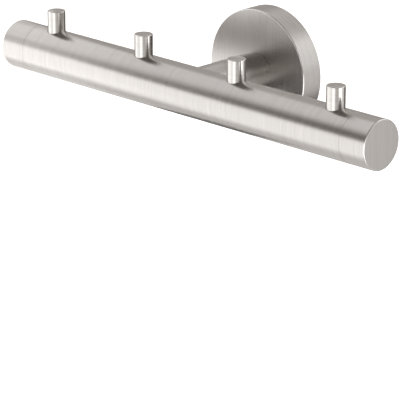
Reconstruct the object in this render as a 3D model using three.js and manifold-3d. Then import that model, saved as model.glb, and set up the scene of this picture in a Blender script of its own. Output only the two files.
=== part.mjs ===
// Wall hook rack: a round steel bar with four upright pegs, held off the wall by one post
// on a round rosette. Millimetres. +X runs along the bar, +Z is up, the wall is the plane
// y = 0 and the rack stands out from it towards -Y. The origin is the centre of the wall
// plate's back face.
import * as THREE from 'three';
import { mergeVertices, toCreasedNormals } from 'three/addons/utils/BufferGeometryUtils.js';
import Module from 'manifold-3d';

// Bar: a tube with a solid turned cap plugged into each end.
const BAR_LENGTH = 214;
const BAR_RADIUS = 10.65;
const BAR_WALL = 2;
const STAND_OFF = 52; // wall to bar axis
const CAP_LENGTH = 13.2; // the part of a cap that shows
const CAP_SPIGOT = 5.6; // the part of a cap inside the tube
const CAP_EDGE = 0.5; // chamfer round the end face

// Pegs: turned rods that pass through the tube's wall, with a threaded stud at the foot.
const PEG_COUNT = 4;
const PEG_PITCH = 55;
const PEG_RADIUS = 4;
const PEG_HEIGHT = 9; // above the top of the bar
const PEG_EDGE = 0.25;
const PEG_SEAT = 5; // height of a peg's shoulder above the bar's axis
const STUD_RADIUS = 2.5;
const STUD_LENGTH = 7;

// Rosette: a shallow cup that hides the wall plate.
const ROSETTE_RADIUS = 27.5;
const ROSETTE_DEPTH = 11;
const ROSETTE_FACE = 3; // thickness of the front
const ROSETTE_RIM = 2.5; // thickness of the rim
const ROSETTE_EDGE = 0.6;

// Post: a round rod, coped at its front end to sit on the bar.
const POST_RADIUS = 8.8;

// Wall plate, with a V groove round it for the set screw.
const PLATE_RADIUS = 24;
const PLATE_THICKNESS = 6;
const PLATE_RECESS_RADIUS = 8;
const PLATE_RECESS_FLOOR = 2.5;
const GROOVE_CENTRE = 3.4;
const GROOVE_HALF_WIDTH = 2.2;
const GROOVE_DEPTH = 2.6;
const WALL_HOLE_RADIUS = 2.4;
const WALL_HOLE_OFFSET = 15.5; // from the plate's centre, to each side
const WALL_SLOT_TRAVEL = 1.5; // how far the slotted hole runs up and down

// Tie bolt: one long screw that clamps rosette, post and bar together.
const BOLT_RADIUS = 3;
const BOLT_LENGTH = 45;
const BOLT_HEAD_RADIUS = 5.25;
const BOLT_HEAD_HEIGHT = 3.3;
const WASHER_RADIUS = 6;
const WASHER_THICKNESS = 1.2;
const PIN_RADIUS = 1.5;
const PIN_LENGTH = 6;
const PIN_OFFSET = 6; // above the bolt's axis
const SET_SCREW_RADIUS = 2;

// Anchors: round slugs inside the tube that the pegs and the tie bolt screw into.
const PEG_ANCHOR_LENGTH = 10;
const TIE_ANCHOR_LENGTH = 14;

// Clearances.
const SEAT = 0.3; // between a curved seat and what sits in it
const RUNNING = 0.1; // between a shank and its hole
const TOUCH = 0.02; // between two faces that meet

const BORE_RADIUS = BAR_RADIUS - BAR_WALL;
const TUBE_HALF = BAR_LENGTH / 2 - CAP_LENGTH;
const ROSETTE_INSIDE = ROSETTE_DEPTH - ROSETTE_FACE;
const FINE = 72; // sides of a large round
const SMALL = 32; // sides of a small round

const FINISHES = {
  brushed: { color: 0xb5afa9, roughness: 0.34, metalness: 1 },
  turned: { color: 0xbdb8b2, roughness: 0.24, metalness: 1 },
  plated: { color: 0x9fa3a6, roughness: 0.42, metalness: 1 },
  fastener: { color: 0x8f8f90, roughness: 0.38, metalness: 1 },
  seal: { color: 0x1b1b1c, roughness: 0.8, metalness: 0 },
};

const wasm = await Module();
wasm.setup();

// A closed solid from any closed geometry: corners welded, slivers on the axis dropped.
function solidFrom(geometry) {
  const bare = new THREE.BufferGeometry();
  bare.setAttribute('position', geometry.getAttribute('position'));
  bare.setIndex(geometry.getIndex());
  const welded = mergeVertices(bare, 1e-5);
  const index = welded.getIndex().array;
  const triangles = [];
  for (let i = 0; i < index.length; i += 3) {
    const [a, b, c] = index.subarray(i, i + 3);
    if (a !== b && b !== c && c !== a) {
      triangles.push(a, b, c);
    }
  }
  return new wasm.Manifold(new wasm.Mesh({
    numProp: 3,
    vertProperties: new Float32Array(welded.getAttribute('position').array),
    triVerts: new Uint32Array(triangles),
  }));
}

function geometryFrom(solid) {
  const mesh = solid.getMesh();
  const geometry = new THREE.BufferGeometry();
  geometry.setAttribute('position', new THREE.BufferAttribute(mesh.vertProperties, 3));
  geometry.setIndex(new THREE.BufferAttribute(mesh.triVerts, 1));
  return toCreasedNormals(geometry, 0.5);
}

const TO_AXIS = {
  x: (geometry) => geometry.rotateZ(-Math.PI / 2),
  y: (geometry) => geometry,
  z: (geometry) => geometry.rotateX(Math.PI / 2),
};

// A turned solid. The outline is a list of [radius, station], with stations measured
// along +X, +Y or +Z. It is closed, or starts and ends on the axis.
function turned(outline, axis, sides) {
  const points = outline.map(([radius, station]) => new THREE.Vector2(radius, station));
  const [first, last] = [points[0], points[points.length - 1]];
  if (first.x > 0 || last.x > 0) {
    points.push(first.clone());
  }
  if (THREE.ShapeUtils.isClockWise(points)) {
    points.reverse();
  }
  const geometry = new THREE.LatheGeometry(points, sides);
  return solidFrom(TO_AXIS[axis](geometry));
}

function rod(radius, from, to, axis, sides = SMALL) {
  return turned([[0, from], [radius, from], [radius, to], [0, to]], axis, sides);
}

function hexagon(acrossFlats, from, to, axis) {
  const radius = acrossFlats / Math.sqrt(3);
  return rod(radius, from, to, axis, 6);
}

const rack = new THREE.Group();
rack.name = 'wall_hook_rack';

function addPiece(name, solid, finish) {
  const material = new THREE.MeshStandardMaterial(FINISHES[finish]);
  material.name = finish;
  const mesh = new THREE.Mesh(geometryFrom(solid), material);
  mesh.name = name;
  rack.add(mesh);
}

const pegPositions = Array.from(
  { length: PEG_COUNT },
  (_, i) => (i - (PEG_COUNT - 1) / 2) * PEG_PITCH,
);

// Bar tube: drilled on top for the pegs and at the back for the tie bolt.
let tube = turned([
  [BORE_RADIUS, -TUBE_HALF],
  [BAR_RADIUS, -TUBE_HALF],
  [BAR_RADIUS, TUBE_HALF],
  [BORE_RADIUS, TUBE_HALF],
], 'x', FINE);
for (const x of pegPositions) {
  const hole = rod(PEG_RADIUS + RUNNING, 0, BAR_RADIUS + 1, 'z', 48).translate([x, 0, 0]);
  tube = tube.subtract(hole);
}
tube = tube.subtract(rod(BOLT_RADIUS + RUNNING, 0, BAR_RADIUS + 1, 'y'));
addPiece('bar_tube', tube.translate([0, -STAND_OFF, 0]), 'brushed');

// End caps: chamfered end face, a spigot with a groove, and a rubber ring in the groove.
const SPIGOT_RADIUS = BORE_RADIUS - 0.1;
const RING_THICKNESS = 1.5;
const RING_OUTSIDE = BORE_RADIUS - 0.05;
const RING_GROOVE = RING_OUTSIDE - RING_THICKNESS - 0.05;
for (const [side, word] of [[-1, 'left'], [1, 'right']]) {
  const seam = TUBE_HALF + TOUCH;
  const end = BAR_LENGTH / 2;
  const tip = seam - CAP_SPIGOT;
  const ringAt = seam - CAP_SPIGOT / 2;
  const grooveHalf = RING_THICKNESS / 2 + 0.2;
  const outline = [
    [0, end],
    [BAR_RADIUS - CAP_EDGE, end],
    [BAR_RADIUS, end - CAP_EDGE],
    [BAR_RADIUS, seam],
    [SPIGOT_RADIUS, seam],
    [SPIGOT_RADIUS, ringAt + grooveHalf],
    [RING_GROOVE, ringAt + grooveHalf],
    [RING_GROOVE, ringAt - grooveHalf],
    [SPIGOT_RADIUS, ringAt - grooveHalf],
    [SPIGOT_RADIUS, tip + 0.5],
    [SPIGOT_RADIUS - 0.5, tip],
    [0, tip],
  ].map(([radius, station]) => [radius, side * station]);
  const cap = turned(outline, 'x', FINE);
  addPiece(`end_cap_${word}`, cap.translate([0, -STAND_OFF, 0]), 'brushed');

  const ringRadius = RING_OUTSIDE - RING_THICKNESS / 2;
  const ring = new THREE.TorusGeometry(ringRadius, RING_THICKNESS / 2, 12, FINE)
    .rotateY(Math.PI / 2)
    .translate(side * ringAt, -STAND_OFF, 0);
  addPiece(`cap_ring_${word}`, solidFrom(ring), 'seal');
}

// Pegs, each screwed down onto a seat in a round anchor inside the tube.
const pegTop = BAR_RADIUS + PEG_HEIGHT;
const studEnd = PEG_SEAT - STUD_LENGTH;
const pegOutline = [
  [0, pegTop],
  [PEG_RADIUS - PEG_EDGE, pegTop],
  [PEG_RADIUS, pegTop - PEG_EDGE],
  [PEG_RADIUS, PEG_SEAT + PEG_EDGE],
  [PEG_RADIUS - PEG_EDGE, PEG_SEAT],
  [STUD_RADIUS - 0.4, PEG_SEAT],
  [STUD_RADIUS - 0.4, PEG_SEAT - 1],
  [STUD_RADIUS, PEG_SEAT - 1.4],
  [STUD_RADIUS, studEnd + 0.5],
  [STUD_RADIUS - 0.5, studEnd],
  [0, studEnd],
];
const anchorRadius = BORE_RADIUS - SEAT / 2;
const pegSocket = turned([
  [0, BAR_RADIUS],
  [PEG_RADIUS + RUNNING, BAR_RADIUS],
  [PEG_RADIUS + RUNNING, PEG_SEAT - TOUCH],
  [STUD_RADIUS + RUNNING, PEG_SEAT - TOUCH],
  [STUD_RADIUS + RUNNING, studEnd - 1],
  [0, studEnd - 1.5],
], 'z', 48);
pegPositions.forEach((x, i) => {
  const peg = turned(pegOutline, 'z', 48);
  addPiece(`peg_${i + 1}`, peg.translate([x, -STAND_OFF, 0]), 'turned');

  const anchor = rod(anchorRadius, -PEG_ANCHOR_LENGTH / 2, PEG_ANCHOR_LENGTH / 2, 'x', FINE)
    .subtract(pegSocket);
  addPiece(`peg_anchor_${i + 1}`, anchor.translate([x, -STAND_OFF, 0]), 'plated');
});

// Rosette cover: a cup, drilled for the tie bolt, the locating pin and the set screw.
const boltHole = BOLT_RADIUS + 2 * RUNNING;
const insideRadius = ROSETTE_RADIUS - ROSETTE_RIM;
const cover = turned([
  [boltHole, -ROSETTE_DEPTH],
  [ROSETTE_RADIUS - ROSETTE_EDGE, -ROSETTE_DEPTH],
  [ROSETTE_RADIUS, -ROSETTE_DEPTH + ROSETTE_EDGE],
  [ROSETTE_RADIUS, -0.3],
  [ROSETTE_RADIUS - 0.3, 0],
  [insideRadius, 0],
  [insideRadius, -ROSETTE_INSIDE],
  [boltHole, -ROSETTE_INSIDE],
], 'y', 96)
  .subtract(rod(PIN_RADIUS + RUNNING, -ROSETTE_DEPTH - 1, 0, 'y').translate([0, 0, PIN_OFFSET]))
  .subtract(rod(SET_SCREW_RADIUS + RUNNING, -ROSETTE_RADIUS - 1, -insideRadius + 1, 'z')
    .translate([0, -GROOVE_CENTRE, 0]));
addPiece('rosette_cover', cover, 'brushed');

// Post: its front end is hollowed to the bar's round.
const postFront = STAND_OFF - Math.sqrt(BAR_RADIUS ** 2 - POST_RADIUS ** 2);
const barSeat = rod(BAR_RADIUS + SEAT, -BAR_RADIUS - 5, BAR_RADIUS + 5, 'x', FINE)
  .translate([0, -STAND_OFF, 0]);
const postBack = ROSETTE_DEPTH + TOUCH;
const post = turned([
  [boltHole, -postBack],
  [POST_RADIUS, -postBack],
  [POST_RADIUS, -postFront],
  [boltHole, -postFront],
], 'y', 64)
  .subtract(barSeat)
  .subtract(rod(PIN_RADIUS + RUNNING, -postBack - PIN_LENGTH / 2 - 1, 0, 'y')
    .translate([0, 0, PIN_OFFSET]));
addPiece('post', post, 'brushed');

// Tie bolt with its washer, the anchor it pulls on, and the pin that stops the post turning.
const headFace = ROSETTE_INSIDE - WASHER_THICKNESS - 2 * TOUCH;
const headTop = headFace - BOLT_HEAD_HEIGHT;
const boltTip = headFace + BOLT_LENGTH;
const boltOutline = [
  [0, -boltTip],
  [BOLT_RADIUS - 0.6, -boltTip],
  [BOLT_RADIUS, -boltTip + 0.6],
  [BOLT_RADIUS, -headFace],
  [BOLT_HEAD_RADIUS, -headFace],
  [BOLT_HEAD_RADIUS, -headFace + 0.6],
  [BOLT_HEAD_RADIUS - 0.7, -headTop - 1.2],
  [BOLT_HEAD_RADIUS - 2.1, -headTop],
  [0, -headTop],
];
const bolt = turned(boltOutline, 'y', SMALL)
  .subtract(hexagon(4, -headTop - 2, -headTop + 1, 'y'));
addPiece('tie_bolt', bolt, 'fastener');

const washer = turned([
  [boltHole, -ROSETTE_INSIDE + TOUCH],
  [WASHER_RADIUS, -ROSETTE_INSIDE + TOUCH],
  [WASHER_RADIUS, -ROSETTE_INSIDE + TOUCH + WASHER_THICKNESS],
  [boltHole, -ROSETTE_INSIDE + TOUCH + WASHER_THICKNESS],
], 'y', SMALL);
addPiece('tie_washer', washer, 'fastener');

const tieSocket = rod(BOLT_RADIUS + RUNNING, STAND_OFF - boltTip - 1, BAR_RADIUS, 'y');
const tieAnchor = rod(anchorRadius, -TIE_ANCHOR_LENGTH / 2, TIE_ANCHOR_LENGTH / 2, 'x', FINE)
  .subtract(tieSocket);
addPiece('tie_anchor', tieAnchor.translate([0, -STAND_OFF, 0]), 'plated');

const pinMiddle = postBack + 0.5;
const pin = turned([
  [0, -pinMiddle - PIN_LENGTH / 2],
  [PIN_RADIUS - 0.3, -pinMiddle - PIN_LENGTH / 2],
  [PIN_RADIUS, -pinMiddle - PIN_LENGTH / 2 + 0.3],
  [PIN_RADIUS, -pinMiddle + PIN_LENGTH / 2 - 0.3],
  [PIN_RADIUS - 0.3, -pinMiddle + PIN_LENGTH / 2],
  [0, -pinMiddle + PIN_LENGTH / 2],
], 'y', SMALL);
addPiece('locating_pin', pin.translate([0, 0, PIN_OFFSET]), 'fastener');

// Wall plate: solid at its centre, with a recess for the bolt head, a round hole and a
// slotted hole for the wall screws, both countersunk.
function wallHole(x, travel) {
  const sunk = -PLATE_THICKNESS + WALL_HOLE_RADIUS;
  const shank = rod(WALL_HOLE_RADIUS, -PLATE_THICKNESS, 1, 'y');
  const countersink = turned([
    [0, sunk],
    [WALL_HOLE_RADIUS, sunk],
    [2 * WALL_HOLE_RADIUS, -PLATE_THICKNESS],
    [2 * WALL_HOLE_RADIUS, -PLATE_THICKNESS - 1],
    [0, -PLATE_THICKNESS - 1],
  ], 'y', SMALL);
  const slots = [shank, countersink].map((solid) => wasm.Manifold.hull([
    solid.translate([x, 0, -travel]),
    solid.translate([x, 0, travel]),
  ]));
  return slots[0].add(slots[1]);
}
const plate = turned([
  [0, 0],
  [PLATE_RADIUS, 0],
  [PLATE_RADIUS, -GROOVE_CENTRE + GROOVE_HALF_WIDTH],
  [PLATE_RADIUS - GROOVE_DEPTH, -GROOVE_CENTRE],
  [PLATE_RADIUS, -GROOVE_CENTRE - GROOVE_HALF_WIDTH],
  [PLATE_RADIUS, -PLATE_THICKNESS],
  [PLATE_RECESS_RADIUS, -PLATE_THICKNESS],
  [PLATE_RECESS_RADIUS, -PLATE_RECESS_FLOOR],
  [0, -PLATE_RECESS_FLOOR],
], 'y', 96)
  .subtract(wallHole(-WALL_HOLE_OFFSET, 0))
  .subtract(wallHole(WALL_HOLE_OFFSET, WALL_SLOT_TRAVEL));
addPiece('wall_plate', plate, 'plated');

// Set screw: enters the rosette's rim from below and bears in the plate's groove.
const screwHead = -ROSETTE_RADIUS + 0.4;
const screwTip = -PLATE_RADIUS + 0.6;
const setScrew = turned([
  [0, screwHead],
  [SET_SCREW_RADIUS - 0.3, screwHead],
  [SET_SCREW_RADIUS, screwHead + 0.3],
  [SET_SCREW_RADIUS, screwTip - 1.5],
  [0.8, screwTip],
  [0, screwTip],
], 'z', SMALL)
  .subtract(hexagon(2, screwHead - 1, screwHead + 1.8, 'z'));
addPiece('set_screw', setScrew.translate([0, -GROOVE_CENTRE, 0]), 'fastener');

export default rack;
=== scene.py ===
# %% [markdown]
# # A wall hook rack in satin stainless steel
#
# The rack is a short round bar with four upright pegs. One post holds it off the wall, and
# the post stands on a round rosette that hides the fixing. Everything that shows is turned
# or brushed steel, so this lesson is about two things: clean round shapes with small, real
# edges, and steel that carries the marks of the tool that finished it.
#
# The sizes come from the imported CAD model, which loads first and never moves.

# %% Load the frame
import math

import bmesh
import bpy
from mathutils import Matrix, Vector


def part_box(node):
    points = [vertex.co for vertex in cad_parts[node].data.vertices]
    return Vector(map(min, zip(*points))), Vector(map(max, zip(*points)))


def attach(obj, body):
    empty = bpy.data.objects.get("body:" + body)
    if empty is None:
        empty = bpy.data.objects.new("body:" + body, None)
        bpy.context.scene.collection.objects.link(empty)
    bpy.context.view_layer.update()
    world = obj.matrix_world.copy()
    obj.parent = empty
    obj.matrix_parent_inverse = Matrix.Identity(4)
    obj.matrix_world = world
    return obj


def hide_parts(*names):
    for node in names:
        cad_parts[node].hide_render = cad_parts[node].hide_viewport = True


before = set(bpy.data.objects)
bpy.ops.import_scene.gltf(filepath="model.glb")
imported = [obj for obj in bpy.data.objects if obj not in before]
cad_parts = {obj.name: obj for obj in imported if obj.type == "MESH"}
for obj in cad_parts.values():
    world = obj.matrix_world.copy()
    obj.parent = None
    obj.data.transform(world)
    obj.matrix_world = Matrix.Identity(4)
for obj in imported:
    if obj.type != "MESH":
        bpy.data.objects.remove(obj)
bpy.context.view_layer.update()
MM = 0.001


# %% [markdown]
# ## The camera
#
# A long lens from the front right, a little above the rack. At this distance the far end
# of the bar is about an eighth smaller than the near end. The camera could be placed by
# eye, but four angles and a distance are easier to read and to change.

# %% Camera
CAMERA_DISTANCE = 1.157
CAMERA_AZIMUTH = math.radians(43.076)
CAMERA_ELEVATION = math.radians(16.003)
LOOK_YAW = math.radians(44.731)
LOOK_DOWN = math.radians(18.878)
LENS_MM = 239.48


def add_camera():
    lens = bpy.data.cameras.new("camera")
    lens.lens = LENS_MM
    lens.clip_start = 0.05
    lens.clip_end = 50
    camera = bpy.data.objects.new("camera", lens)
    bpy.context.scene.collection.objects.link(camera)
    level = CAMERA_DISTANCE * math.cos(CAMERA_ELEVATION)
    camera.location = (
        level * math.sin(CAMERA_AZIMUTH),
        -level * math.cos(CAMERA_AZIMUTH),
        CAMERA_DISTANCE * math.sin(CAMERA_ELEVATION),
    )
    camera.rotation_euler = (math.pi / 2 - LOOK_DOWN, 0, LOOK_YAW)
    bpy.context.scene.camera = camera
    return camera


camera = add_camera()
print("camera at", [round(v, 4) for v in camera.location])


# %% [markdown]
# ## Writing shader maths as Python
#
# A node tree is easier to read as an expression. `Wire` wraps one socket, and each
# operator on it adds the Math node that it stands for. `Sheet.node` adds any other node:
# its settings are set first, and then its sockets get a value or a link.

# %% Wires and sheets
class Wire:
    """One output socket. Arithmetic on it adds Math nodes to its tree."""

    def __init__(self, sheet, socket):
        self.sheet = sheet
        self.socket = socket

    def __add__(self, other):
        return self.sheet.math("ADD", self, other)

    def __radd__(self, other):
        return self.sheet.math("ADD", other, self)

    def __sub__(self, other):
        return self.sheet.math("SUBTRACT", self, other)

    def __rsub__(self, other):
        return self.sheet.math("SUBTRACT", other, self)

    def __mul__(self, other):
        return self.sheet.math("MULTIPLY", self, other)


class Sheet:
    """A node tree that is written on from left to right."""

    def __init__(self, tree):
        self.tree = tree
        tree.nodes.clear()

    def node(self, kind, settings=None, sockets=None, out=0):
        made = self.tree.nodes.new(kind)
        for name, value in (settings or {}).items():
            setattr(made, name, value)
        for name, value in (sockets or {}).items():
            if isinstance(value, Wire):
                self.tree.links.new(value.socket, made.inputs[name])
            else:
                made.inputs[name].default_value = value
        return Wire(self, made.outputs[out]) if len(made.outputs) else made

    def math(self, operation, a, b):
        return self.node("ShaderNodeMath", {"operation": operation}, {0: a, 1: b})

    def vector(self, operation, a, b, out="Vector"):
        settings = {"operation": operation}
        return self.node("ShaderNodeVectorMath", settings, {0: a, 1: b}, out)

    def ease(self, value, low, high):
        """0 below low, 1 above high, and a smooth step between them."""
        settings = {"interpolation_type": "SMOOTHSTEP"}
        sockets = {"Value": value, "From Min": low, "From Max": high}
        return self.node("ShaderNodeMapRange", settings, sockets)

    def blend(self, factor, a, b):
        """A colour between a and b. The Mix node keeps its colour sockets at 6 and 7."""
        settings = {"data_type": "RGBA"}
        return self.node("ShaderNodeMix", settings, {0: factor, 6: a, 7: b}, out=2)

    def noise(self, place, stretch, detail=3.0, roughness=0.55):
        """Noise with one unit of scale per axis, so that it can be drawn out into streaks."""
        mapped = self.node("ShaderNodeMapping", None, {"Vector": place, "Scale": stretch})
        sockets = {"Vector": mapped, "Scale": 1.0, "Detail": detail, "Roughness": roughness}
        return self.node("ShaderNodeTexNoise", None, sockets)


# %% [markdown]
# ## Satin steel, turned and brushed
#
# The bar, the post, the rim and the pegs were finished while they spun, so their marks run
# round them. The rosette's front and the ends of the bar were drawn across a belt, so
# theirs run straight up and down. In both, the marks are noise stretched far longer one
# way than the other, in three widths: the widest show from across a room, the finest only
# close up. A fourth, finer than a hair, is left out of the colour and only ruffles the
# surface.
#
# For turned metal the noise is not laid over the object's own axes. Every turned piece
# carries a UV map called `lathe`, which holds each point's radius and its station along
# the axis. Marks that follow those two numbers become rings on a side and circles on an
# end, as a lathe tool leaves them.
#
# The same marks drive colour, roughness and a shallow bump, because on real metal they are
# one and the same thing. A slow cloud is mixed in, so that no two stretches look alike.

# %% Steel
WIDE, MEDIUM, FINE, HAIR = 260.0, 1100.0, 3600.0, 9000.0  # marks per metre


def straight_marks(sheet, per_metre, length_ratio):
    """Noise drawn out along Z."""
    place = sheet.node("ShaderNodeTexCoord", out="Object")
    scale = (per_metre, per_metre, per_metre / length_ratio)
    return sheet.noise(place, scale, 2.0)


def lathe_marks(sheet, per_metre, length_ratio):
    """Noise drawn out round the piece's own axis."""
    station = sheet.node("ShaderNodeUVMap", {"uv_map": "lathe"})
    place = sheet.node("ShaderNodeTexCoord", out="Object")
    rings = sheet.vector("MULTIPLY", station, (per_metre, per_metre, 0))
    slow = sheet.vector("MULTIPLY", place, (per_metre / length_ratio,) * 3)
    return sheet.noise(sheet.vector("ADD", rings, slow), (1, 1, 1), 2.0)


def satin_steel(name, marks, roughness, light, dark, contrast=0.08, depth=0.9):
    """marks is straight_marks or lathe_marks; light and dark are the two tints."""
    material = bpy.data.materials.new(name)
    material.use_nodes = True
    sheet = Sheet(material.node_tree)
    streaks = (
        marks(sheet, WIDE, 30) * 0.06
        + marks(sheet, MEDIUM, 45) * 0.28
        + marks(sheet, FINE, 60) * 0.66
    )
    place = sheet.node("ShaderNodeTexCoord", out="Object")
    cloud = sheet.noise(place, (45, 45, 45), 3.0)
    shade = sheet.ease(streaks + (cloud - 0.5) * 0.15, 0.32, 0.68)
    height = streaks * 0.3 + marks(sheet, HAIR, 60) * 0.35
    relief = sheet.node(
        "ShaderNodeBump",
        None,
        {"Strength": depth, "Distance": 0.00006, "Height": height},
    )
    shader = sheet.node(
        "ShaderNodeBsdfPrincipled",
        None,
        {
            "Base Color": sheet.blend(shade, dark, light),
            "Metallic": 1.0,
            "Roughness": roughness + (streaks - 0.5) * contrast + (cloud - 0.5) * 0.04,
            "Normal": relief,
        },
    )
    sheet.node("ShaderNodeOutputMaterial", None, {"Surface": shader})
    return material


SATIN = ((0.604, 0.584, 0.566, 1), (0.540, 0.520, 0.502, 1))
BRIGHT = ((0.690, 0.670, 0.645, 1), (0.590, 0.570, 0.547, 1))
POLISHED = ((0.820, 0.805, 0.790, 1), (0.760, 0.745, 0.730, 1))
bar_steel = satin_steel("bar_steel", lathe_marks, 0.23, *SATIN)
post_steel = satin_steel("post_steel", lathe_marks, 0.26, *SATIN)
rim_steel = satin_steel("rim_steel", lathe_marks, 0.28, *SATIN)
face_steel = satin_steel("face_steel", straight_marks, 0.29, *SATIN, contrast=0.09, depth=0.5)
peg_steel = satin_steel("peg_steel", lathe_marks, 0.18, *BRIGHT, contrast=0.12, depth=0.6)
edge_steel = satin_steel("edge_steel", lathe_marks, 0.17, *POLISHED, depth=0.4)
print("steels:", [m.name for m in bpy.data.materials])


# %% [markdown]
# ## The hidden metal and the rubber
#
# The wall plate and the anchors are steel with dull zinc plating, which has a soft crystal
# mottle and no grain. The screws are bare steel, and the rings are matt black rubber. None
# of these shows from the front, but the part is also seen from behind and taken apart.

# %% Plating and rubber
def mottled(name, light, dark, metallic, roughness, cell, depth):
    """A surface without grain: cells of plating, or the dull skin of moulded rubber."""
    material = bpy.data.materials.new(name)
    material.use_nodes = True
    sheet = Sheet(material.node_tree)
    place = sheet.node("ShaderNodeTexCoord", out="Object")
    sockets = {"Vector": place, "Scale": cell}
    cells = sheet.node("ShaderNodeTexVoronoi", None, sockets, "Distance")
    grit = sheet.noise(place, (cell * 4,) * 3, 3.0)
    relief = sheet.node(
        "ShaderNodeBump",
        None,
        {"Strength": depth, "Distance": 0.00004, "Height": grit},
    )
    shader = sheet.node(
        "ShaderNodeBsdfPrincipled",
        None,
        {
            "Base Color": sheet.blend(sheet.ease(cells + grit, 0.5, 1.4), dark, light),
            "Metallic": metallic,
            "Roughness": roughness + (grit - 0.5) * 0.2,
            "Normal": relief,
        },
    )
    sheet.node("ShaderNodeOutputMaterial", None, {"Surface": shader})
    return material


ZINC = ((0.56, 0.57, 0.59, 1), (0.40, 0.41, 0.43, 1))
BARE = ((0.50, 0.49, 0.48, 1), (0.38, 0.37, 0.36, 1))
FELT = ((0.16, 0.155, 0.15, 1), (0.12, 0.115, 0.11, 1))
BLACK = ((0.030, 0.030, 0.031, 1), (0.014, 0.014, 0.014, 1))
zinc = mottled("zinc", *ZINC, metallic=1.0, roughness=0.42, cell=700, depth=0.3)
screw_steel = mottled("screw_steel", *BARE, metallic=1.0, roughness=0.33, cell=2500, depth=0.2)
rubber = mottled("rubber", *BLACK, metallic=0.0, roughness=0.7, cell=3000, depth=0.5)
grey_felt = mottled("grey_felt", *FELT, metallic=0.0, roughness=0.9, cell=2000, depth=0.5)


# %% [markdown]
# ## Turning on a lathe
#
# Every piece here is round, and was made on a lathe or from tube. The same works in mesh
# code: draw half of the outline as a chain of points, each a radius and a station along
# the axis, and spin it round. A spin leaves doubled points where it closes and on the
# axis, so they are merged before the normals are worked out again.
#
# `round_over` softens one turned corner. On satin steel the corners matter most, because
# they are what catches the light.

# %% Lathe helpers
AXIS = {"x": Vector((1, 0, 0)), "y": Vector((0, 1, 0)), "z": Vector((0, 0, 1))}
RADIAL = {"x": Vector((0, 0, 1)), "y": Vector((0, 0, 1)), "z": Vector((1, 0, 0))}


def turned(outline, axis, closed=False, sides=192):
    """A bmesh spun from (radius, station) points in metres."""
    bm = bmesh.new()
    chain = [bm.verts.new(RADIAL[axis] * r + AXIS[axis] * s) for r, s in outline]
    pairs = list(zip(chain, chain[1:])) + ([(chain[-1], chain[0])] if closed else [])
    edges = [bm.edges.new(pair) for pair in pairs]
    bmesh.ops.spin(
        bm,
        geom=chain + edges,
        cent=(0, 0, 0),
        axis=AXIS[axis],
        angle=2 * math.pi,
        steps=sides,
        use_merge=True,
    )
    bmesh.ops.remove_doubles(bm, verts=bm.verts, dist=1e-7)
    bmesh.ops.recalc_face_normals(bm, faces=bm.faces)
    return bm


def off_axis(point, axis):
    """A point's radius and station."""
    station = point.dot(AXIS[axis])
    return (point - AXIS[axis] * station).length, station


def round_over(bm, axis, radius, station, width, segments=3, material=-1):
    """Rounds the corner that was turned at one radius and station."""

    def on_corner(vert):
        r, s = off_axis(vert.co, axis)
        return abs(r - radius) < 1e-6 and abs(s - station) < 1e-6

    corner = [e for e in bm.edges if on_corner(e.verts[0]) and on_corner(e.verts[1])]
    bmesh.ops.bevel(
        bm,
        geom=corner,
        offset=width,
        affect="EDGES",
        segments=segments,
        profile=0.5,
        material=material,
    )


def temporary_object(bm, name):
    mesh = bpy.data.meshes.new(name)
    bm.to_mesh(mesh)
    bm.free()
    made = bpy.data.objects.new(name, mesh)
    bpy.context.scene.collection.objects.link(made)
    return made


def drilled(bm, *cutters):
    """Cuts closed bmeshes out of a bmesh, and hands back what is left."""
    body = temporary_object(bm, "body")
    tools = [temporary_object(cutter, "cutter") for cutter in cutters]
    for tool in tools:
        cut = body.modifiers.new("cut", "BOOLEAN")
        cut.operation = "DIFFERENCE"
        cut.solver = "EXACT"
        cut.object = tool
    result = bmesh.new()
    result.from_object(body, bpy.context.evaluated_depsgraph_get())
    for spent in [body] + tools:
        mesh = spent.data
        bpy.data.objects.remove(spent)
        bpy.data.meshes.remove(mesh)
    return result


def drill(radius, start, end, axis, place=(0, 0, 0), sides=64):
    """A round cutter from one station to another, moved to its place."""
    bm = turned([(0, start), (radius, start), (radius, end), (0, end)], axis, sides=sides)
    bmesh.ops.translate(bm, verts=bm.verts, vec=place)
    return bm


def finish_piece(bm, name, node, materials, axis, place=(0, 0, 0)):
    """Maps, places and shades a bmesh, which then stands for one CAD node."""
    lathe = bm.loops.layers.uv.new("lathe")
    for face in bm.faces:
        face.smooth = True
        for loop in face.loops:
            loop[lathe].uv = off_axis(loop.vert.co, axis)
    for edge in bm.edges:
        edge.smooth = edge.calc_face_angle(0) < math.radians(40)
    open_edges = sum(not edge.is_manifold for edge in bm.edges)
    bmesh.ops.translate(bm, verts=bm.verts, vec=place)
    piece = temporary_object(bm, name)
    for material in materials:
        piece.data.materials.append(material)
    weighted = piece.modifiers.new("weighted_normals", "WEIGHTED_NORMAL")
    weighted.keep_sharp = True
    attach(piece, "root")
    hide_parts(node)
    print(f"{name}: {len(piece.data.polygons)} faces, {open_edges} open edges")
    return piece


# %% [markdown]
# ## Sizes from the frame
#
# A round CAD node's box gives its radius, its length and its centre.

# %% Sizes
def middle(node, axis):
    low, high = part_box(node)
    return (low[axis] + high[axis]) / 2


def size(node, axis):
    low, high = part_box(node)
    return high[axis] - low[axis]


BAR_AXIS = (0, middle("bar_tube", 1), middle("bar_tube", 2))
BAR_RADIUS = size("bar_tube", 2) / 2
TUBE_HALF = size("bar_tube", 0) / 2
BORE_RADIUS = BAR_RADIUS - 2 * MM
BAR_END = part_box("end_cap_right")[1][0]
CAP_INNER_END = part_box("end_cap_right")[0][0]
PEG_RADIUS = size("peg_1", 0) / 2
BOLT_HOLE = 3.2 * MM
CLEARANCE = 0.1 * MM
print("bar radius", round(BAR_RADIUS / MM, 3), "mm, half length", round(BAR_END / MM, 2), "mm")


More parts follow.
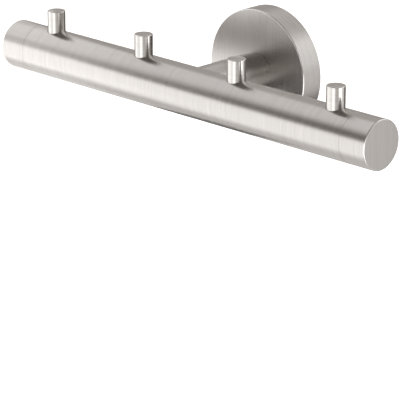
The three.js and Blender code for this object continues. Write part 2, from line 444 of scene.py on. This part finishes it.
# %% [markdown]
# ## The bar
#
# The bar is a tube, drilled on top for the pegs and at the back for the bolt that ties it
# to the wall. A turned cap closes each end, and only a hairline shows where they meet.
# Each side of that hairline has its own tiny edge, so the seam is geometry and not a
# painted line. The tube gets a station every few millimetres, which keeps its faces short
# and its shading clean round the holes.

# %% Tube and caps
SEAM_EDGE = 0.13 * MM
CAP_EDGE = 0.4 * MM


def make_tube():
    steps = 40
    along = [TUBE_HALF * (2 * i / steps - 1) for i in range(steps + 1)]
    outline = [(BAR_RADIUS, s) for s in along] + [(BORE_RADIUS, s) for s in reversed(along)]
    bm = turned(outline, "x", closed=True)
    for end in (-TUBE_HALF, TUBE_HALF):
        round_over(bm, "x", BAR_RADIUS, end, SEAM_EDGE, 2)
    deep = BAR_RADIUS + 1 * MM
    hole = PEG_RADIUS + CLEARANCE
    pegs = [middle(f"peg_{n}", 0) for n in range(1, 5)]
    cutters = [drill(hole, 0, deep, "z", (x, 0, 0)) for x in pegs]
    cutters.append(drill(BOLT_HOLE - CLEARANCE, 0, deep, "y"))
    bm = drilled(bm, *cutters)
    return finish_piece(bm, "tube_satin", "bar_tube", [bar_steel], "x", BAR_AXIS)


def make_cap(side, word):
    seam = TUBE_HALF + 0.02 * MM
    spigot = BORE_RADIUS - CLEARANCE
    ring = f"cap_ring_{word}"
    ring_at = middle(ring, 0) * side
    groove = size(ring, 2) / 2 - size(ring, 0) - 0.05 * MM
    groove_half = size(ring, 0) / 2 + 0.2 * MM
    outline = [
        (0, BAR_END),
        (BAR_RADIUS, BAR_END),
        (BAR_RADIUS, seam),
        (spigot, seam),
        (spigot, ring_at + groove_half),
        (groove, ring_at + groove_half),
        (groove, ring_at - groove_half),
        (spigot, ring_at - groove_half),
        (spigot, CAP_INNER_END),
        (0, CAP_INNER_END),
    ]
    bm = turned([(r, side * s) for r, s in outline], "x")
    for face in bm.faces:
        if abs(face.calc_center_median().x - side * BAR_END) < 1e-6:
            face.material_index = 1
    round_over(bm, "x", BAR_RADIUS, side * BAR_END, CAP_EDGE, 3, material=2)
    round_over(bm, "x", BAR_RADIUS, side * seam, SEAM_EDGE, 2)
    round_over(bm, "x", spigot, side * CAP_INNER_END, 0.5 * MM, 1)
    steels = [bar_steel, face_steel, edge_steel]
    name, node = f"cap_{word}_satin", f"end_cap_{word}"
    return finish_piece(bm, name, node, steels, "x", BAR_AXIS)


make_tube()
make_cap(-1, "left")
make_cap(1, "right")


# %% [markdown]
# ## The pegs
#
# Each peg is one turned rod. It goes through a close hole in the tube, so its foot meets
# the bar on a curved line, and its stud is screwed into an anchor inside. The top has a
# small rounded edge, and fine rings from the facing cut.

# %% Pegs
PEG_EDGE = 0.3 * MM
PEG_SEAT = 5 * MM
STUD_RADIUS = 2.5 * MM


def make_peg(node):
    low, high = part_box(node)
    top, end = high[2] - BAR_AXIS[2], low[2] - BAR_AXIS[2]
    neck = STUD_RADIUS - 0.4 * MM
    outline = [
        (0, top),
        (PEG_RADIUS, top),
        (PEG_RADIUS, PEG_SEAT),
        (neck, PEG_SEAT),
        (neck, PEG_SEAT - 1 * MM),
        (STUD_RADIUS, PEG_SEAT - 1.4 * MM),
        (STUD_RADIUS, end),
        (0, end),
    ]
    bm = turned(outline, "z", sides=128)
    round_over(bm, "z", PEG_RADIUS, top, PEG_EDGE, 3, material=1)
    round_over(bm, "z", PEG_RADIUS, PEG_SEAT, 0.25 * MM, 1)
    round_over(bm, "z", STUD_RADIUS, end, 0.5 * MM, 1)
    place = (middle(node, 0), BAR_AXIS[1], BAR_AXIS[2])
    steels = [peg_steel, edge_steel]
    return finish_piece(bm, f"{node}_turned", node, steels, "z", place)


for number in range(1, 5):
    make_peg(f"peg_{number}")


# %% [markdown]
# ## The rosette and the post
#
# The rosette is a shallow cup: a flat front, a rim, and a hollow back that fits over the
# wall plate. Its front is brushed straight up and down and its rim is brushed round, so
# they get different steels, with a narrow polished edge between them. It is drilled for
# the bolt, for the pin that stops the post turning, and for the set screw underneath.
#
# The post's front end is hollowed to the round of the bar. That end is turned flat with a
# few rings in it, and each of its points is then moved along the post until it lies on
# the seat.

# %% Rosette and post
ROSETTE_RADIUS = size("rosette_cover", 2) / 2
ROSETTE_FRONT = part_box("rosette_cover")[0][1]
ROSETTE_EDGE = 0.4 * MM
PIN_AT = (0, 0, middle("locating_pin", 2))
PIN_HOLE = size("locating_pin", 0) / 2 + CLEARANCE
SCREW_AT = (0, middle("set_screw", 1), 0)
SCREW_HOLE = size("set_screw", 0) / 2 + CLEARANCE


def make_rosette():
    inside = ROSETTE_RADIUS - 2.5 * MM
    floor = ROSETTE_FRONT + 3 * MM
    outline = [
        (BOLT_HOLE, ROSETTE_FRONT),
        (ROSETTE_RADIUS, ROSETTE_FRONT),
        (ROSETTE_RADIUS, 0),
        (inside, 0),
        (inside, floor),
        (BOLT_HOLE, floor),
    ]
    bm = turned(outline, "y", closed=True, sides=256)
    for face in bm.faces:
        if abs(face.calc_center_median().y - ROSETTE_FRONT) > 1e-6:
            face.material_index = 1
    round_over(bm, "y", ROSETTE_RADIUS, ROSETTE_FRONT, ROSETTE_EDGE, 3, material=2)
    round_over(bm, "y", ROSETTE_RADIUS, 0, 0.3 * MM, 2)
    round_over(bm, "y", inside, 0, 0.2 * MM, 2)
    pin = drill(PIN_HOLE, ROSETTE_FRONT - 1 * MM, 0, "y", PIN_AT)
    screw = drill(SCREW_HOLE, -ROSETTE_RADIUS - 1 * MM, 1 * MM - inside, "z", SCREW_AT)
    bm = drilled(bm, pin, screw)
    steels = [face_steel, rim_steel, edge_steel]
    return finish_piece(bm, "rosette_satin", "rosette_cover", steels, "y")


def make_post():
    radius = size("post", 0) / 2
    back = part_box("post")[1][1]
    front = BAR_AXIS[1] + 2 * MM
    steps = 8
    rings = [radius + (BOLT_HOLE - radius) * i / steps for i in range(steps + 1)]
    outline = [(radius, back)] + [(r, front) for r in rings] + [(BOLT_HOLE, back)]
    bm = turned(outline, "y", closed=True, sides=128)
    seat = BAR_RADIUS + 0.42 * MM
    for vert in bm.verts:
        if abs(vert.co.y - front) < 1e-6:
            vert.co.y = BAR_AXIS[1] + math.sqrt(seat**2 - vert.co.z**2)
    round_over(bm, "y", radius, back, 0.15 * MM, 2)
    pin_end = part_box("locating_pin")[0][1] - 0.5 * MM
    bm = drilled(bm, drill(PIN_HOLE, pin_end, 0, "y", PIN_AT))
    return finish_piece(bm, "post_satin", "post", [post_steel], "y")


make_rosette()
make_post()


# %% [markdown]
# ## The wall plate and its screw
#
# Behind the rosette sits a plate with a V groove round it. It is held by two wall screws,
# in a round hole and in a short slot that lets the rack be levelled. A set screw under
# the rim bears in the groove. The slot's cutter is a round one whose upper and lower
# halves are moved apart.

# %% Wall plate and set screw
PLATE_RADIUS = size("wall_plate", 0) / 2
PLATE_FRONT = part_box("wall_plate")[0][1]
WALL_HOLE = 2.4 * MM
WALL_HOLE_AT = 15.5 * MM
SLOT_TRAVEL = 1.5 * MM


def wall_hole(x, travel):
    sunk = PLATE_FRONT + WALL_HOLE
    outline = [
        (0, 1 * MM),
        (WALL_HOLE, 1 * MM),
        (WALL_HOLE, sunk),
        (2 * WALL_HOLE, PLATE_FRONT),
        (2 * WALL_HOLE, PLATE_FRONT - 1 * MM),
        (0, PLATE_FRONT - 1 * MM),
    ]
    bm = turned(outline, "y", sides=66)
    half_step = Matrix.Rotation(math.pi / 66, 3, "Y")
    bmesh.ops.rotate(bm, cent=(0, 0, 0), matrix=half_step, verts=bm.verts)
    for vert in bm.verts:
        if abs(vert.co.z) > 1e-7:
            vert.co.z += math.copysign(travel, vert.co.z)
    bmesh.ops.translate(bm, verts=bm.verts, vec=(x, 0, 0))
    return bm


def make_plate():
    groove_at = middle("set_screw", 1)
    outline = [
        (0, 0),
        (PLATE_RADIUS, 0),
        (PLATE_RADIUS, groove_at + 2.2 * MM),
        (PLATE_RADIUS - 2.6 * MM, groove_at),
        (PLATE_RADIUS, groove_at - 2.2 * MM),
        (PLATE_RADIUS, PLATE_FRONT),
        (8 * MM, PLATE_FRONT),
        (8 * MM, -2.5 * MM),
        (0, -2.5 * MM),
    ]
    bm = turned(outline, "y", sides=256)
    round_over(bm, "y", PLATE_RADIUS, 0, 0.25 * MM, 2)
    bm = drilled(bm, wall_hole(-WALL_HOLE_AT, 0), wall_hole(WALL_HOLE_AT, SLOT_TRAVEL))
    return finish_piece(bm, "wall_plate_zinc", "wall_plate", [zinc], "y")


def make_set_screw():
    low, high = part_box("set_screw")
    radius = size("set_screw", 0) / 2
    outline = [
        (0, low[2]),
        (radius, low[2]),
        (radius, high[2] - 1.5 * MM),
        (0.8 * MM, high[2]),
        (0, high[2]),
    ]
    bm = turned(outline, "z", sides=64)
    round_over(bm, "z", radius, low[2], 0.25 * MM, 2)
    socket = drill(2 / math.sqrt(3) * MM, low[2] - 1 * MM, low[2] + 1.8 * MM, "z", sides=6)
    bm = drilled(bm, socket)
    name, place = "set_screw_steel", SCREW_AT
    return finish_piece(bm, name, "set_screw", [screw_steel], "z", place)


make_plate()
make_set_screw()


# %% [markdown]
# ## The floor and the light
#
# Steel shows nothing of its own. What the eye reads as its shape is the room mirrored in
# it, so the room is designed first. This one is the inside of a large sphere painted with
# soft-edged panels. Azimuth runs from +X towards +Y, and elevation upwards, in degrees.
#
# The panel called `key` is a band at eye level in front on the left: it makes the white
# stripe along the bar. Above it the room is left dark for about twenty degrees, which
# draws the dark line over that stripe. `front` and `right` put the two stripes on each
# peg. The rest is a mid grey, lighter behind, to the left and well below the rack.
#
# Four cards stand near the bar's left end and lift that end only, since only that end
# mirrors them. A dark flag under the bar keeps the key off the lower right of the rosette.
# The camera sees neither the cards nor the flag.
#
# The floor is pale and lies well below the rack. A wide, soft sun lights it, and steel
# mirrors neither of them. The sphere is plain white where the camera looks straight at it.

# %% Studio
FLOOR_DROP = 0.75
SUN_STRENGTH = 4.5
PANELS = {
    # name: azimuth, half width, low, high, strength
    "key": (-133, 30, -44, 11, 1.22),
    "front": (-78, 14, -38, 12, 1.55),
    "front right": (-42, 20, -38, 24, 0.47),
    "right": (6, 13, -38, -4, 3.60),
    "right back": (42, 10, -38, 10, 0.72),
    "back left": (135, 24, -38, 38, 0.27),
    "low left": (165, 50, -62, -32, 0.33),
    "over the left": (-172, 42, 35, 66, 0.73),
    "over the right": (50, 26, 8, 38, 0.95),
    "over the back": (92, 42, 30, 64, 0.50),
}
CARDS_X = -0.25
LEFT_CARDS = {
    # name: y, z, width, height, glow
    "left card": (-0.09, 0.02, 0.35, 0.38, 0.31),
    "left card, foot": (-0.02, -0.155, 0.20, 0.10, 0.40),
    "left card, corner": (-0.185, 0.105, 0.12, 0.12, 0.60),
    "left card, top": (0.02, 0.145, 0.14, 0.12, 0.20),
}
FLAG_AT = (-0.005, -0.044, -0.040)
FLAG_HALF = 0.03
ROOM_GREY = 0.20
UNDERNEATH = 0.33
SOFT_SIDE = 12
SOFT_TOP = 6
SOFT_FOOT = 10


def add_floor():
    bm = bmesh.new()
    bmesh.ops.create_grid(bm, x_segments=1, y_segments=1, size=12)
    bmesh.ops.translate(bm, verts=bm.verts, vec=(0, 0, -FLOOR_DROP))
    floor = temporary_object(bm, "floor")
    material = bpy.data.materials.new("floor_paint")
    material.use_nodes = True
    sheet = Sheet(material.node_tree)
    place = sheet.node("ShaderNodeTexCoord", out="Object")
    cloud = sheet.noise(place, (3, 3, 3), 3.0)
    colour = sheet.blend(cloud, (0.88, 0.88, 0.88, 1), (0.92, 0.92, 0.92, 1))
    sockets = {"Base Color": colour, "Roughness": 0.9}
    shader = sheet.node("ShaderNodeBsdfPrincipled", None, sockets)
    sheet.node("ShaderNodeOutputMaterial", None, {"Surface": shader})
    floor.data.materials.append(material)
    floor.visible_glossy = False


def add_sun():
    light = bpy.data.lights.new("floor_sun", "SUN")
    light.energy = SUN_STRENGTH
    light.angle = math.radians(90)
    sun = bpy.data.objects.new("floor_sun", light)
    sun.rotation_euler = (math.radians(10), 0, 0)
    sun.visible_glossy = False
    bpy.context.scene.collection.objects.link(sun)


def add_cards():
    """Pale cards that stand in one upright plane to the left of the bar and face along it."""
    for name, (y, z, width, height, glow) in LEFT_CARDS.items():
        light = bpy.data.lights.new(name, "AREA")
        light.shape = "RECTANGLE"
        light.size = width
        light.size_y = height
        light.energy = glow * math.pi * width * height
        card = bpy.data.objects.new(name, light)
        card.location = (CARDS_X, y, z)
        card.rotation_euler = (math.pi / 2, 0, -math.pi / 2)
        card.visible_camera = False
        bpy.context.scene.collection.objects.link(card)


def add_flag():
    """A dark upright square under the bar. It casts no shadow, and only mirrors show it."""
    bm = bmesh.new()
    bmesh.ops.create_grid(bm, x_segments=1, y_segments=1, size=FLAG_HALF)
    upright = Matrix.Rotation(math.pi / 2, 3, "X")
    bmesh.ops.rotate(bm, cent=(0, 0, 0), matrix=upright, verts=bm.verts)
    bmesh.ops.translate(bm, verts=bm.verts, vec=FLAG_AT)
    flag = temporary_object(bm, "flag")
    flag.data.materials.append(grey_felt)
    flag.visible_camera = False
    flag.visible_shadow = False


def panel(sheet, flat, height, azimuth, half_width, low, high):
    """1 inside a soft-edged panel of the sphere, 0 outside it."""

    def level(degrees):
        return math.sin(math.radians(degrees))

    turn = math.radians(azimuth)
    facing = (math.cos(turn), math.sin(turn), 0)
    lean = sheet.vector("DOT_PRODUCT", flat, facing, "Value")
    outer = math.cos(math.radians(half_width + SOFT_SIDE))
    inner = math.cos(math.radians(half_width - SOFT_SIDE))
    above = sheet.ease(height, level(low - SOFT_FOOT), level(low + SOFT_FOOT))
    below = 1 - sheet.ease(height, level(high - SOFT_TOP), level(high + SOFT_TOP))
    return sheet.ease(lean, outer, inner) * above * below


def paint_room():
    world = bpy.data.worlds.new("studio")
    bpy.context.scene.world = world
    world.use_nodes = True
    sheet = Sheet(world.node_tree)
    direction = sheet.node("ShaderNodeTexCoord", out="Generated")
    level = sheet.vector("MULTIPLY", direction, (1, 1, 0))
    flat = sheet.vector("NORMALIZE", level, (0, 0, 0))
    height = sheet.node("ShaderNodeSeparateXYZ", None, {0: direction}, "Z")
    light = ROOM_GREY + sheet.ease(0 - height, 0.57, 0.82) * UNDERNEATH
    for azimuth, half_width, low, high, strength in PANELS.values():
        light = light + panel(sheet, flat, height, azimuth, half_width, low, high) * strength
    looking = sheet.node("ShaderNodeLightPath", out="Is Camera Ray")
    colour = sheet.blend(sheet.ease(light, 0.2, 1.1), (1, 0.93, 0.87, 1), (1, 0.992, 0.985, 1))
    room = sheet.node("ShaderNodeBackground", None, {"Color": colour, "Strength": light})
    white = sheet.node("ShaderNodeBackground", None, {"Color": (1, 1, 1, 1), "Strength": 1.0})
    shown = sheet.node("ShaderNodeMixShader", None, {0: looking, 1: room, 2: white})
    sheet.node("ShaderNodeOutputWorld", None, {"Surface": shown})


add_floor()
add_sun()
add_cards()
add_flag()
paint_room()
bpy.context.scene.view_settings.view_transform = "Standard"
print("studio:", len(PANELS), "panels")


# %% [markdown]
# ## Hidden pieces
#
# The fasteners and anchors inside keep their CAD shapes and get their metal here.

# %% Hidden pieces
HIDDEN = {
    "cap_ring_left": rubber,
    "cap_ring_right": rubber,
    "peg_anchor_1": zinc,
    "peg_anchor_2": zinc,
    "peg_anchor_3": zinc,
    "peg_anchor_4": zinc,
    "tie_anchor": zinc,
    "tie_bolt": screw_steel,
    "tie_washer": screw_steel,
    "locating_pin": screw_steel,
}
for node, material in HIDDEN.items():
    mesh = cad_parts[node].data
    mesh.materials.clear()
    mesh.materials.append(material)
print("hidden pieces:", len(HIDDEN))
